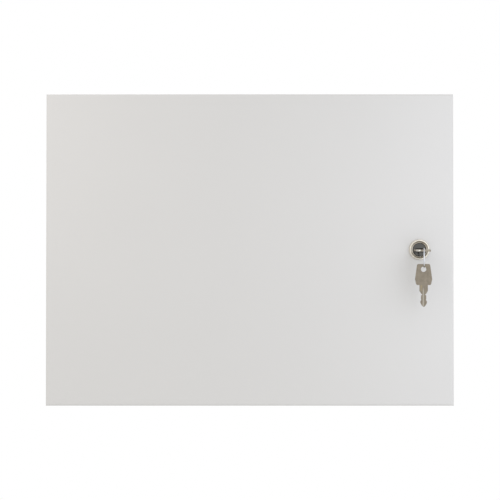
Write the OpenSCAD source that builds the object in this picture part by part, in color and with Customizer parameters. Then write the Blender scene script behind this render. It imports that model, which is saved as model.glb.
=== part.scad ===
// Steel wall enclosure with a hinged pan door, a cam lock and two keys.
// The back of the case lies on the plane y = 0 and the door faces -Y. +Z is up.

/* [Case] */
// Width of the door and of the case
body_w = 425; // [380:5:600]
// Height of the door and of the case
body_h = 325; // [300:5:600]
// Depth from the wall to the face of the door
body_depth = 110; // [100:5:250]
// Sheet of the case
case_t = 1.2; // [1:0.1:2]
// Outside radius of every bend in the case
case_bend_r = 2.4; // [2.1:0.1:3]
// Width of the rain channel, from the outline to the collar
channel_w = 18; // [18:0.5:24]
// Distance from the face of the door to the front edge of the collar
collar_back = 6.8; // [6.8:0.1:8]
// Diameter of the four wall fixing holes
wall_hole_d = 7; // [6:0.5:9]
// Distance from the outline to the centre of each wall fixing hole
wall_hole_in = 25; // [24:0.5:32]

/* [Door] */
// Sheet of the door
door_t = 1.5; // [1.2:0.1:1.8]
// Outside radius of the bends in the door
door_bend_r = 2.5; // [2.2:0.1:3]
// Depth of the folded edge of the door
door_skirt = 13; // [10:0.5:14]
// Width of the seal
seal_w = 8; // [6:0.5:8]
// Height of the seal
seal_h = 5; // [4:0.1:5]
// Radius of the rounded crest of the seal
seal_crest_r = 5.5; // [4.5:0.5:8]
// Radius of the seal's centreline at its corners
seal_corner_r = 5; // [4.5:0.5:8]

/* [Hinges] */
// Distance from the side of the door to the hinge axis
pivot_in = 8; // [8:0.1:9]
// Distance from the face of the door to the hinge axis
pivot_back = 8; // [7.8:0.1:8.5]
// Distance from the top or bottom of the door to the middle of each hinge
hinge_in = 57.5; // [42:0.5:75]
// Diameter of the hinge pin
pin_d = 5; // [4:0.5:5]
// Thickness of the hinge pin's head
pin_head_t = 1.6; // [1:0.1:2]
// Length of the chamfered tip of the hinge pin below the bracket
pin_tip = 1; // [0.7:0.1:2]
// Length of the knuckle on the door
knuckle_h = 24; // [18:1:32]
// Outside diameter of the knuckle on the door
knuckle_d = 8.4; // [7.6:0.1:8.4]
// Diameter of the round end of the bracket's arms
arm_end_d = 8; // [7.4:0.1:8]
// Width of the bracket's arms
arm_w = 7; // [6:0.5:7]
// Thickness of the bracket's arms
arm_t = 3; // [2:0.5:4]
// Thickness of the bracket's foot
foot_t = 2; // [1.5:0.1:2.2]
// Height of the bracket's foot
foot_h = 40; // [38:1:50]
// Thickness of the plate that carries the knuckle
leaf_t = 2; // [1.5:0.1:2]
// Height of the plate that carries the knuckle
leaf_h = 44; // [36:1:60]
// Diameter of the bracket screws
bracket_screw_d = 4; // [3:0.5:4]
// Distance from the hinge's middle to each bracket screw
bracket_screw_z = 7; // [5:0.5:9]

/* [Mounting plate] */
// Distance from the outline of the case to the edge of the mounting plate
plate_in = 37.5; // [34:0.5:60]
// Thickness of the mounting plate
plate_t = 2; // [1.5:0.5:3]
// Corner radius of the mounting plate
plate_corner_r = 6; // [2:1:10]
// Distance from the wall to the back of the mounting plate
plate_off = 12; // [8:1:30]
// Distance from the edge of the mounting plate to each stud
plate_stud_in = 12.5; // [9:0.5:20]
// Diameter of the mounting plate studs
plate_stud_d = 6; // [5:1:8]
// Length of stud in front of the plate's seat
plate_stud_len = 14; // [12:1:20]
// Diameter of the shoulder that the plate seats on
plate_seat_d = 12; // [10:1:16]

/* [Cable entry] */
// Width of the cable entry
entry_w = 190; // [100:5:240]
// Depth of the cable entry
entry_d = 50; // [30:1:52]
// Corner radius of the cable entry
entry_corner_r = 6; // [3:1:12]
// Width of the gland plate around the entry
gland_rim = 12; // [11:0.5:13]
// Thickness of the gland plate
gland_t = 2; // [1.5:0.5:3]
// Thickness of the flat seal under the gland plate
gland_seal_t = 1.5; // [1:0.5:3]
// Diameter of the gland plate studs
gland_stud_d = 4; // [3:1:5]
// Free length of the gland plate studs
gland_stud_len = 11; // [10:1:16]

/* [Earthing] */
// Diameter of the earth studs
earth_d = 6; // [5:1:8]
// Length of the earth studs
earth_len = 16; // [14:1:24]
// Distance from the side of the case to its earth stud
earth_in = 62; // [40:1:80]
// Distance from the bottom of the case to its earth stud
earth_up = 20; // [18:1:24]
// Distance from the hinge side of the door to its earth stud
door_earth_in = 40; // [32:1:80]
// Distance from the bottom of the door to its earth stud
door_earth_up = 38; // [32:1:80]

/* [Lock] */
// Distance from the closing side of the door to the lock's axis
lock_in = 36; // [35.5:0.5:45]
// Diameter of the lock's bezel
bezel_d = 21.2; // [20:0.1:23]
// Height of the bezel
bezel_h = 2.8; // [2:0.1:4]
// Diameter of the rolled edge of the bezel
bezel_roll_d = 2.4; // [1.6:0.1:2.6]
// Diameter of the lock's body
barrel_d = 18; // [17:0.1:18.5]
// Width across the two flats of the lock's body
barrel_flats = 16; // [15:0.1:16.5]
// Diameter of the plug
plug_d = 12.6; // [12:0.1:12.8]
// Diameter of the plug's face
plug_face_d = 14.2; // [14:0.1:15]
// Chamfer round the plug's face
plug_face_chamfer = 0.5; // [0.2:0.1:0.8]
// Distance from the door to the plug's face
plug_face_out = 1.2; // [0.8:0.1:1.6]
// Thickness of the plug's face
plug_face_t = 2.3; // [1.5:0.1:3]
// Side of the plug's square tail
tail_w = 7; // [6:0.1:7.4]
// Width across the flats of the lock's nut
lock_nut_w = 21; // [20:0.5:22]
// Thickness of the lock's nut
lock_nut_t = 3.5; // [3:0.5:5]
// Thickness of the washer under the lock's nut
lock_washer_t = 1; // [0.6:0.1:1.2]
// Thickness of the stop washer
stop_t = 1.2; // [0.8:0.1:1.6]
// Thickness of the cam
cam_t = 2; // [1.5:0.1:3]
// Width of the cam
cam_w = 14; // [12:0.5:16]
// Radius of the two corners at the cam's tip
cam_tip_r = 3; // [1:0.5:5]
// Length of the cam from its axis to its tip
cam_len = 28; // [26:0.5:30]
// Space between the locked cam and the shoulder of the case
cam_gap = 0.5; // [0.4:0.1:1]
// Diameter of the cam's screw
cam_screw_d = 4; // [3:0.5:4]
// Number of wafers
wafer_n = 5; // [3:1:5]
// Thickness of a wafer
wafer_t = 1; // [0.8:0.1:1.2]
// Distance from one wafer to the next
wafer_pitch = 2.4; // [2.2:0.1:2.6]
// Width of a wafer
wafer_w = 5; // [4.5:0.1:5.5]
// Distance from the plug's seat to the middle of the first wafer
wafer_in = 1.5; // [1.2:0.1:2]
// Depth of the two channels that the wafers spring into
wafer_channel = 1; // [0.6:0.1:1]

/* [Keys] */
// Thickness of the keys
key_t = 1.8; // [1.6:0.1:2]
// Length of the bow
bow_len = 21.4; // [18:0.1:24]
// Width of the bow at its free end
bow_end_w = 13.4; // [12:0.1:15]
// Widest part of the bow
bow_max_w = 17.3; // [16:0.1:20]
// Distance from the bow's free end to its widest part
bow_max_at = 15.4; // [12:0.1:16]
// Width of the bow at the neck
bow_base_w = 15.3; // [14:0.1:17]
// Radius of the bow's corners
bow_corner_r = 1.6; // [1:0.1:2.4]
// Diameter of the hole in the bow
bow_hole_d = 5.4; // [5.4:0.1:6]
// Metal between the hole and the bow's free end
bow_land = 2.7; // [2.4:0.1:2.8]
// Width of the neck
neck_w = 8.5; // [8:0.1:9.5]
// Length of the neck
neck_len = 5.9; // [4:0.1:8]
// Length of the blade beyond the neck
blade_len = 16.4; // [15:0.1:16.8]
// Length of the taper from the neck to the blade's root
shoulder_len = 3.1; // [2.6:0.1:3.4]
// Width of the blade's root
root_w = 4.9; // [4.4:0.1:5.2]
// Widest part of the blade
blade_w = 6.7; // [6:0.1:6.8]
// Length of that widest part
blade_full_len = 1.4; // [1:0.1:2]
// Distance from the neck to the narrow notch behind the shoulder
notch_at = 3.55; // [3.45:0.05:3.8]
// Width left at the notch
notch_w = 2.9; // [2.6:0.1:3.4]
// Length of the notch
notch_len = 0.5; // [0.3:0.1:0.8]
// Length of the slope from the notch to the first cut
notch_rise = 0.65; // [0.4:0.05:0.9]
// Width left by the first cut
first_cut_w = 5.3; // [4.8:0.1:5.6]
// Length of the first cut
first_cut_len = 3.7; // [3:0.1:4]
// Width left by the second cut
second_cut_w = 4.4; // [4:0.1:4.8]
// Length of the slope down to the second cut
cut_fall = 0.8; // [0.5:0.1:1]
// Length of the slope up from the second cut
cut_rise = 1.4; // [1:0.1:1.6]
// Length of the pointed tip
point_len = 2.1; // [1.6:0.1:2.4]
// Width where the pointed tip begins
point_w = 4.6; // [4:0.1:5]
// Width of the flat at the very tip
tip_flat_w = 0.8; // [0.6:0.1:1.4]
// Width of the groove along each face of the blade
groove_w = 1.75; // [1.4:0.05:2]
// Depth of that groove
groove_depth = 0.35; // [0.2:0.05:0.5]
// Distance from the bow to the point where that groove starts
groove_in = 2; // [1.4:0.1:2.4]
// Length over which the groove deepens from that point
groove_run_out = 3; // [2:0.1:3.4]
// Angle by which the key in the lock droops under its own weight
key_droop = 2.2; // [0:0.2:2.6]
// Angle by which the key in the lock leans to the closing side within its play
key_yaw = 2; // [0:0.2:2.4]
// Outside diameter of the key ring
ring_d = 20.4; // [19:0.1:21]
// Diameter of the ring's wire
wire_d = 1.2; // [1:0.1:1.2]
// Angle by which the ring and the spare key are turned about the vertical
ring_turn = 8.2; // [0:0.2:10]
// Distance by which the spare key hangs beside the lowest point of the ring
spare_aside = 0.6; // [0:0.1:1]

/* [Clearances] */
// Space between parts that pass each other
clear = 0.3; // [0.2:0.05:0.4]
// Radial clearance of a pin or plug that turns in its bore
turn_fit = 0.06; // [0.03:0.01:0.1]
// Radial clearance of a screw, stud or square in its hole
screw_fit = 0.1; // [0.05:0.01:0.2]
// Space between the door's sweep and the case
sweep_clear = 0.6; // [0.5:0.1:1]
// Space between the ring and the keys that hang on it
ring_gap = 0.08; // [0.05:0.01:0.12]

/* [Hidden] */
$fn = 48;

front_y = -body_depth;
cut = 1;
reach = 2 * (body_w + body_h);

// Bends
case_inner_r = case_bend_r - case_t;
door_inner_r = door_bend_r - door_t;

// Hinge axis and the room that the door's edge needs as it swings
pivot_x = -body_w / 2 + pivot_in;
pivot_y = front_y + pivot_back;
skirt_sweep_r = norm([pivot_in, door_skirt - pivot_back]);
face_sweep_r = norm([pivot_in - door_bend_r, pivot_back - door_bend_r]) + door_bend_r;
shoulder_back = pivot_back + max(skirt_sweep_r, face_sweep_r) + sweep_clear;
shoulder_y = front_y + shoulder_back;
collar_y = front_y + collar_back;
entry_y = shoulder_y / 2;
collar_x = -body_w / 2 + channel_w;
door_inside_y = front_y + door_t;
bracket_front = collar_back + screw_fit;
bracket_back = shoulder_back - case_inner_r - screw_fit;
bracket_y = front_y + (bracket_front + bracket_back) / 2;
hinge_z = body_h / 2 - hinge_in;
arm_at = knuckle_h / 2 + clear;
pin_grip = arm_at + arm_t;

// Fixed sizes of small standard parts, each as a share of the thread that it goes on
nut_w_ratio = 1.65;
nut_t_ratio = 0.8;
washer_d_ratio = 2;
washer_t_ratio = 0.25;
head_d_ratio = 1.8;
head_h_ratio = 0.6;
recess_ratio = 0.6;
hex_sides = 6;
earth_seat = 3;
earth_nut_at = earth_seat + earth_d * washer_t_ratio;

// Mounting plate
plate_w = body_w - 2 * plate_in;
plate_h = body_h - 2 * plate_in;
stud_dx = plate_w / 2 - plate_stud_in;
stud_dz = plate_h / 2 - plate_stud_in;
plate_front = plate_off + plate_t;

// Lock, measured from the face of the door towards the wall
lock_x = body_w / 2 - lock_in;
cam_at = shoulder_back + case_t + cam_gap;
stop_at = cam_at - stop_t;
barrel_len = stop_at - clear;
plug_face_r = plug_face_d / 2;
bezel_recess_r = plug_face_r + turn_fit;
bore_r = plug_d / 2 + turn_fit;
plug_seat = plug_face_t - plug_face_out + turn_fit;
stop_lug_h = cam_at - clear - barrel_len;
stop_disc_r = plug_d / 2 + clear;
stop_tab_r = barrel_flats / 2 + clear;
stop_tab_angle = 88;
stop_tab_at = 225;
tail_end = cam_at + cam_t - screw_fit;
yaw_shift = blade_len / 2 * sin(key_yaw);
keyway_w = blade_w + 2 * (clear + yaw_shift);
wafer_len_r = plug_d / 2 - turn_fit;
wafer_first = plug_seat + wafer_in;
cam_washer_d = 1.45 * tail_w;
cam_washer_t = 0.8;
cam_screw_depth = 5;

// Keys: 0 is the shoulder at the end of the neck, and the blade runs in +Y
shoulder_stop = (neck_w - blade_w - 2 * clear) / (neck_w - root_w) * shoulder_len;
key_out = plug_face_out + shoulder_stop + clear;
blade_in = blade_len - shoulder_stop - clear;
keyway_h = key_t + 2 * clear + blade_in * sin(key_droop);
bow_end = -neck_len - bow_len;
bow_hole_at = bow_end + bow_land + bow_hole_d / 2;
key_y = front_y - key_out;
droop_y = front_y - plug_face_out + blade_in / 2;

// Place in Y and Z of a point of the key in the lock, after its droop about the middle of the blade
function drooped(y, z) = [
    droop_y + (key_y + y - droop_y) * cos(key_droop) - z * sin(key_droop),
    (key_y + y - droop_y) * sin(key_droop) + z * cos(key_droop)
];

// Ring, in its own upright plane: it hangs on the near edge of the hole, clear of the far edge
wire_r = wire_d / 2;
ring_r = ring_d / 2 - wire_r;
ring_inner_r = ring_r - wire_r;
ring_room = 0.5;
hung_r = ring_inner_r - ring_gap;
passing_r = ring_d / 2 + ring_room;
hole_chord = bow_hole_d * cos(ring_turn + key_yaw);
near_edge = drooped(bow_end + bow_land, key_t / 2);
far_edge = drooped(bow_end + bow_land + hole_chord, -key_t / 2);
edge_span = norm(far_edge - near_edge);
edge_dir = (far_edge - near_edge) / edge_span;
ring_along = (pow(hung_r, 2) - pow(passing_r, 2) + pow(edge_span, 2)) / (2 * edge_span);
ring_below = sqrt(pow(hung_r, 2) - pow(ring_along, 2));
ring_behind = ring_along * edge_dir[0] + ring_below * edge_dir[1];
ring_z = near_edge[1] + ring_along * edge_dir[1] - ring_below * edge_dir[0];

// Place of the ring's middle, once the key has leaned and the ring has turned
ring_x = lock_x + (droop_y - near_edge[0]) * sin(key_yaw) + ring_behind * sin(ring_turn);
ring_y = droop_y + (near_edge[0] - droop_y) * cos(key_yaw) + ring_behind * cos(ring_turn);

// Spare key: the top of its hole rests on the wire at the bottom of the ring
spare_rise = sqrt(pow(ring_inner_r, 2) - pow(key_t / 2, 2));
spare_drop = sqrt(pow(bow_hole_d / 2 - wire_r - ring_gap, 2) - pow(spare_aside, 2));
spare_hole_z = ring_z - wire_r - spare_rise - spare_drop;

// ---------- helpers ----------

// Turns a part drawn along +Z so that it points towards the wall
module to_back() {
    rotate([-90, 0, 0]) children();
}

// Turns a part drawn along +Z so that it points out of the front
module to_front() {
    rotate([90, 0, 0]) children();
}

// Puts a copy on each side of the middle in X and Z
module four(dx, dz) {
    for (sx = [-1, 1]) {
        for (sz = [-1, 1]) {
            translate([sx * dx, 0, sz * dz]) children();
        }
    }
}

// Flat outline with round corners
module rounded_rect(w, h, r) {
    square([w - 2 * r, h], center = true);
    square([w, h - 2 * r], center = true);
    for (sx = [-1, 1]) {
        for (sy = [-1, 1]) {
            translate([sx * (w / 2 - r), sy * (h / 2 - r)]) circle(r);
        }
    }
}

// Section of a tray: full width from y0 to y1, with its corners rounded by r0 and r1
module tray_section(w, y0, y1, r0, r1) {
    translate([-w / 2, y0 + r0]) square([w, y1 - y0 - r0 - r1]);
    translate([-w / 2 + max(r0, r1), y0]) square([w - 2 * max(r0, r1), y1 - y0]);
    for (side = [-1, 1]) {
        if (r0 > 0) {
            translate([side * (w / 2 - r0), y0 + r0]) circle(r0);
        }
        if (r1 > 0) {
            translate([side * (w / 2 - r1), y1 - r1]) circle(r1);
        }
    }
}

// Fillet in the corner where a collar of the given half width meets a shoulder at y
module collar_fillet(half_w, y, r) {
    for (side = [-1, 1]) {
        translate([side * half_w, y]) {
            difference() {
                translate([side > 0 ? -cut : -r, -r]) square([r + cut, r + cut / 2]);
                translate([side * r, -r]) circle(r);
            }
        }
    }
}

// Block whose section across X is the first child and across Z the second, as two folds leave it
module folded_block() {
    intersection() {
        linear_extrude(reach, center = true) children(0);
        rotate([0, -90, 0]) linear_extrude(reach, center = true) children(1);
    }
}

// Ring of a constant section round a rectangle, with round corners
module swept_frame(w, h, r) {
    for (side = [-1, 1]) {
        translate([side * w / 2, 0, 0]) rotate([90, 0, 0]) {
            linear_extrude(h - 2 * r, center = true) children();
        }
        translate([0, side * h / 2, 0]) rotate([90, 0, 90]) {
            linear_extrude(w - 2 * r, center = true) children();
        }
    }
    for (quarter = [0:3]) {
        sx = (quarter == 0 || quarter == 3) ? 1 : -1;
        sy = quarter < 2 ? 1 : -1;
        translate([sx * (w / 2 - r), sy * (h / 2 - r), 0])
            rotate([0, 0, 90 * quarter])
                rotate_extrude(angle = 90) translate([r, 0]) children();
    }
}

// Hexagon nut with turned-down corners, standing on z = 0
module hex_nut(w, t, bore_d) {
    corner_r = w / 2 / cos(30);
    turned = corner_r - w / 2;
    difference() {
        intersection() {
            cylinder(h = t, r = corner_r, $fn = hex_sides);
            rotate_extrude() {
                polygon([[0, 0], [w / 2, 0],
                         [corner_r, turned / 2], [corner_r, t - turned / 2],
                         [w / 2, t], [0, t]]);
            }
        }
        translate([0, 0, -cut]) cylinder(h = t + 2 * cut, d = bore_d);
    }
}

// Nut for a stud of diameter d, standing on z = 0
module stud_nut(d) {
    hex_nut(d * nut_w_ratio, d * nut_t_ratio, d + 2 * screw_fit);
}

// Flat washer for a stud of diameter d, standing on z = 0
module flat_washer(d, outer_d, t) {
    difference() {
        cylinder(h = t, d = outer_d);
        translate([0, 0, -cut]) cylinder(h = t + 2 * cut, d = d + 2 * screw_fit);
    }
}

// Washer of the usual width for a stud of diameter d
module stud_washer(d) {
    flat_washer(d, d * washer_d_ratio, d * washer_t_ratio);
}

// Stud with a chamfered tip, from z = 0
module stud(d, len) {
    tip = d / 8;
    cylinder(h = len - tip, d = d);
    translate([0, 0, len - tip]) cylinder(h = tip, d1 = d, d2 = d - 2 * tip);
}

// Pan-head screw with a cross recess: the head stands on z = 0 and the shank runs to -len
module pan_screw(d, len) {
    head_r = d * head_d_ratio / 2;
    head_h = d * head_h_ratio;
    arm = d / 5;
    recess_w = 2 * head_r * recess_ratio;
    recess_depth = head_h * recess_ratio;
    difference() {
        union() {
            translate([0, 0, -len]) cylinder(h = len, d = d);
            rotate_extrude() {
                intersection() {
                    square([head_r, head_h]);
                    translate([0, head_h - head_r * 2]) circle(head_r * 2);
                }
            }
        }
        translate([0, 0, head_h]) {
            cube([recess_w, arm, 2 * recess_depth], center = true);
            cube([arm, recess_w, 2 * recess_depth], center = true);
        }
    }
}

// ---------- case ----------

// Outside of the folded case across a width of w
module case_outer_section(w) {
    tray_section(w, shoulder_y, 0, case_bend_r, case_bend_r);
    translate([-w / 2 + channel_w, collar_y]) {
        square([w - 2 * channel_w, case_bend_r + shoulder_y - collar_y]);
    }
    collar_fillet(w / 2 - channel_w, shoulder_y, case_inner_r);
}

// Inside of the folded case across a width of w
module case_inner_section(w) {
    mouth = w / 2 - channel_w - case_t;
    tray_section(w - 2 * case_t, shoulder_y + case_t, -case_t, case_inner_r, case_inner_r);
    translate([-mouth, collar_y - cut]) square([2 * mouth, shoulder_y - collar_y + case_t + 2 * cut]);
    collar_fillet(mouth, shoulder_y + case_t, case_bend_r);
}

module wall_holes() {
    four(body_w / 2 - wall_hole_in, body_h / 2 - wall_hole_in) {
        translate([0, cut, 0]) to_front() cylinder(h = case_t + 2 * cut, d = wall_hole_d);
    }
}

// Four places of the bracket screws, with the screw pointing into the rain channel
module bracket_screw_places() {
    for (hinge = [-1, 1]) {
        for (end = [-1, 1]) {
            translate([collar_x, bracket_y, hinge * hinge_z + end * bracket_screw_z]) {
                rotate([0, 90, 0]) children();
            }
        }
    }
}

module gland_stud_places() {
    dx = entry_w / 2 + gland_rim / 2;
    dy = entry_d / 2 + gland_rim / 2;
    for (column = [-1, 0, 1]) {
        for (side = [-1, 1]) {
            translate([column * dx, entry_y + side * dy, -body_h / 2 + case_t]) children();
        }
    }
}

module case_shell() {
    color("gainsboro") difference() {
        folded_block() {
            case_outer_section(body_w);
            case_outer_section(body_h);
        }
        folded_block() {
            case_inner_section(body_w);
            case_inner_section(body_h);
        }
        wall_holes();
        bracket_screw_places() {
            translate([0, 0, -cut]) cylinder(h = case_t + 2 * cut, d = bracket_screw_d + 2 * screw_fit);
        }
        translate([0, entry_y, -body_h / 2 - cut])
            linear_extrude(case_t + 2 * cut) rounded_rect(entry_w, entry_d, entry_corner_r);
    }
}

// ---------- mounting plate ----------

module mounting_plate() {
    color("silver") difference() {
        translate([0, -plate_off, 0]) to_front() {
            linear_extrude(plate_t) rounded_rect(plate_w, plate_h, plate_corner_r);
        }
        four(stud_dx, stud_dz) {
            translate([0, cut - plate_off, 0]) to_front() {
                cylinder(h = plate_t + 2 * cut, d = plate_stud_d + 2 * screw_fit);
            }
        }
    }
}

module plate_studs() {
    color("silver") four(stud_dx, stud_dz) {
        translate([0, -case_t, 0]) to_front() {
            cylinder(h = plate_off - case_t, d = plate_seat_d);
            stud(plate_stud_d, plate_off - case_t + plate_stud_len);
        }
    }
}

module plate_washers() {
    color("lightgray") four(stud_dx, stud_dz) {
        translate([0, -plate_front, 0]) to_front() stud_washer(plate_stud_d);
    }
}

module plate_nuts() {
    color("lightgray") four(stud_dx, stud_dz) {
        translate([0, -plate_front - plate_stud_d * washer_t_ratio, 0]) to_front() stud_nut(plate_stud_d);
    }
}

// ---------- cable entry ----------

module gland_outline(grow) {
    rounded_rect(entry_w + 2 * grow, entry_d + 2 * grow, entry_corner_r + grow);
}

module gland_stud_holes() {
    gland_stud_places() translate([0, 0, -cut]) {
        cylinder(h = gland_stud_len, d = gland_stud_d + 2 * screw_fit);
    }
}

module gland_gasket() {
    color("dimgray") difference() {
        translate([0, entry_y, -body_h / 2 + case_t]) {
            linear_extrude(gland_seal_t) {
                difference() {
                    gland_outline(gland_rim);
                    gland_outline(0);
                }
            }
        }
        gland_stud_holes();
    }
}

module gland_plate() {
    color("gainsboro") difference() {
        translate([0, entry_y, -body_h / 2 + case_t + gland_seal_t]) {
            linear_extrude(gland_t) gland_outline(gland_rim);
        }
        gland_stud_holes();
    }
}

module gland_studs() {
    color("silver") gland_stud_places() stud(gland_stud_d, gland_stud_len);
}

module gland_nuts() {
    color("lightgray") gland_stud_places() translate([0, 0, gland_seal_t + gland_t]) stud_nut(gland_stud_d);
}

// ---------- earth studs ----------

// Place of the case's earth stud, pointing out of the front from the back sheet
module at_case_earth() {
    translate([-body_w / 2 + earth_in, -case_t, -body_h / 2 + earth_up]) to_front() children();
}

// Place of the door's earth stud, pointing to the wall from the door's inside
module at_door_earth() {
    translate([-body_w / 2 + door_earth_in, door_inside_y, -body_h / 2 + door_earth_up]) to_back() children();
}

module shouldered_stud() {
    cylinder(h = earth_seat, d = earth_d * nut_w_ratio);
    stud(earth_d, earth_len);
}

module earth_stud() {
    color("silver") at_case_earth() shouldered_stud();
}

module earth_washer() {
    color("lightgray") at_case_earth() translate([0, 0, earth_seat]) stud_washer(earth_d);
}

module earth_nut() {
    color("lightgray") at_case_earth() translate([0, 0, earth_nut_at]) stud_nut(earth_d);
}

module door_earth_stud() {
    color("silver") at_door_earth() shouldered_stud();
}

module door_earth_washer() {
    color("lightgray") at_door_earth() translate([0, 0, earth_seat]) stud_washer(earth_d);
}

module door_earth_nut() {
    color("lightgray") at_door_earth() translate([0, 0, earth_nut_at]) stud_nut(earth_d);
}

// ---------- hinges ----------

// One bracket: a foot screwed to the collar and two arms that hold the pin
module hinge_bracket() {
    difference() {
        union() {
            translate([collar_x - foot_t, front_y + bracket_front, -foot_h / 2])
                cube([foot_t, bracket_back - bracket_front, foot_h]);
            for (side = [-1, 1]) {
                translate([0, 0, side * (arm_at + arm_t / 2)]) {
                    linear_extrude(arm_t, center = true) arm_outline();
                }
            }
        }
        translate([pivot_x, pivot_y, -foot_h]) cylinder(h = 2 * foot_h, d = pin_d + 2 * turn_fit);
        for (end = [-1, 1]) {
            translate([collar_x - foot_t - cut, bracket_y, end * bracket_screw_z])
                rotate([0, 90, 0]) cylinder(h = foot_t + 2 * cut, d = bracket_screw_d + 2 * screw_fit);
        }
    }
}

// Arm from the foot to the round end about the hinge axis, kept behind the seal
module arm_outline() {
    difference() {
        union() {
            translate([pivot_x, pivot_y]) circle(d = arm_end_d);
            translate([pivot_x, pivot_y - arm_w / 2]) square([collar_x - foot_t / 2 - pivot_x, arm_w]);
        }
        translate([collar_x - seal_w, front_y]) square([seal_w, bracket_front]);
    }
}

// One headed pin, dropped through both arms and the knuckle
module hinge_pin() {
    translate([pivot_x, pivot_y, 0]) {
        translate([0, 0, -pin_grip - pin_tip]) stud_pin(2 * pin_grip + pin_tip);
        translate([0, 0, pin_grip]) cylinder(h = pin_head_t, d = arm_end_d - 2 * screw_fit);
    }
}

// Pin of the given length with a chamfered lower end
module stud_pin(len) {
    translate([0, 0, len]) mirror([0, 0, 1]) stud(pin_d, len);
}

// Plate on the inside of the door with the knuckle that turns on the pin
module hinge_leaf() {
    leaf_in = door_t + door_inner_r;
    leaf_w = channel_w - seal_w / 2 - leaf_in;
    difference() {
        union() {
            translate([-body_w / 2 + leaf_in, door_inside_y, -leaf_h / 2]) cube([leaf_w, leaf_t, leaf_h]);
            translate([pivot_x, pivot_y, -knuckle_h / 2]) cylinder(h = knuckle_h, d = knuckle_d);
            translate([pivot_x - knuckle_d / 2, door_inside_y, -knuckle_h / 2])
                cube([knuckle_d, pivot_y - door_inside_y, knuckle_h]);
        }
        translate([pivot_x, pivot_y, -knuckle_h]) cylinder(h = 2 * knuckle_h, d = pin_d + 2 * turn_fit);
    }
}

module upper_hinge_bracket() {
    color("silver") translate([0, 0, hinge_z]) hinge_bracket();
}

module lower_hinge_bracket() {
    color("silver") translate([0, 0, -hinge_z]) hinge_bracket();
}

module hinge_screws() {
    shank = case_t + foot_t;
    color("lightgray") translate([case_t, 0, 0]) bracket_screw_places() pan_screw(bracket_screw_d, shank);
}

module upper_hinge_pin() {
    color("lightgray") translate([0, 0, hinge_z]) hinge_pin();
}

module lower_hinge_pin() {
    color("lightgray") translate([0, 0, -hinge_z]) hinge_pin();
}

module upper_hinge_leaf() {
    color("gainsboro") translate([0, 0, hinge_z]) hinge_leaf();
}

module lower_hinge_leaf() {
    color("gainsboro") translate([0, 0, -hinge_z]) hinge_leaf();
}

// ---------- door ----------

// Lock's body seen along its axis: a circle with two flats, grown by the given amount
module barrel_outline(grow) {
    intersection() {
        circle(d = barrel_d + 2 * grow);
        square([barrel_flats + 2 * grow, barrel_d + 2 * (grow + cut)], center = true);
    }
}

// Place of the lock, drawn from the face of the door towards the wall
module at_lock() {
    translate([lock_x, front_y, 0]) to_back() children();
}

module door_panel() {
    color("gainsboro") difference() {
        folded_block() {
            tray_section(body_w, front_y, front_y + door_skirt, door_bend_r, 0);
            tray_section(body_h, front_y, front_y + door_skirt, door_bend_r, 0);
        }
        folded_block() {
            tray_section(body_w - 2 * door_t, door_inside_y, front_y + door_skirt + cut, door_inner_r, 0);
            tray_section(body_h - 2 * door_t, door_inside_y, front_y + door_skirt + cut, door_inner_r, 0);
        }
        at_lock() translate([0, 0, -cut]) linear_extrude(door_t + 2 * cut) barrel_outline(screw_fit);
    }
}

// Half-round section of the seal, centred on its line
module seal_section() {
    intersection() {
        translate([-seal_w / 2, 0]) square([seal_w, seal_h]);
        translate([0, seal_h - seal_crest_r]) circle(seal_crest_r);
    }
}

module door_gasket() {
    line_in = channel_w + case_t / 2;
    color("dimgray") translate([0, door_inside_y, 0]) to_back() {
        swept_frame(body_w - 2 * line_in, body_h - 2 * line_in, seal_corner_r) seal_section();
    }
}

// ---------- lock ----------

// Section of the rolled bezel, outside of the plug's face
module bezel_section() {
    roll_r = bezel_roll_d / 2;
    bezel_r = bezel_d / 2;
    translate([bezel_r - roll_r, -bezel_h + roll_r]) circle(roll_r);
    translate([bezel_recess_r, -bezel_h + roll_r]) square([bezel_r - bezel_recess_r, bezel_h - roll_r]);
    polygon([[bezel_recess_r, -bezel_h + roll_r],
             [bezel_recess_r, -plug_face_out - clear],
             [bezel_r - roll_r, -bezel_h],
             [bezel_r - roll_r, -bezel_h + roll_r]]);
}

module lock_barrel() {
    channel_reach = 2 * (bore_r + wafer_channel);
    channel_len = wafer_pitch * wafer_n + 2 * clear;
    color("tan") at_lock() difference() {
        union() {
            rotate_extrude() bezel_section();
            linear_extrude(barrel_len) barrel_outline(0);
            linear_extrude(barrel_len + stop_lug_h) {
                intersection() {
                    barrel_outline(0);
                    translate([0, -barrel_d / 2]) square(barrel_d);
                }
            }
        }
        translate([0, 0, -bezel_h]) cylinder(h = bezel_h + plug_seat, r = bezel_recess_r);
        cylinder(h = barrel_len + stop_t, r = bore_r);
        translate([0, 0, barrel_len]) cylinder(h = stop_t, r = stop_disc_r + clear);
        for (turn = [0, 90]) {
            rotate([0, 0, turn]) translate([0, 0, wafer_first + wafer_pitch * (wafer_n - 1) / 2]) {
                cube([channel_reach, wafer_w + 2 * clear, channel_len], center = true);
            }
        }
    }
}

module lock_washer() {
    color("silver") at_lock() translate([0, 0, door_t]) {
        flat_washer(barrel_d, lock_nut_w + 2 * screw_fit, lock_washer_t);
    }
}

module lock_nut() {
    color("silver") at_lock() translate([0, 0, door_t + lock_washer_t]) rotate([0, 0, 30]) {
        hex_nut(lock_nut_w, lock_nut_t, barrel_d + 2 * screw_fit);
    }
}

// Places of the wafers along the plug
module wafer_places() {
    for (i = [0:wafer_n - 1]) {
        translate([0, 0, wafer_first + i * wafer_pitch]) children();
    }
}

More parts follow.
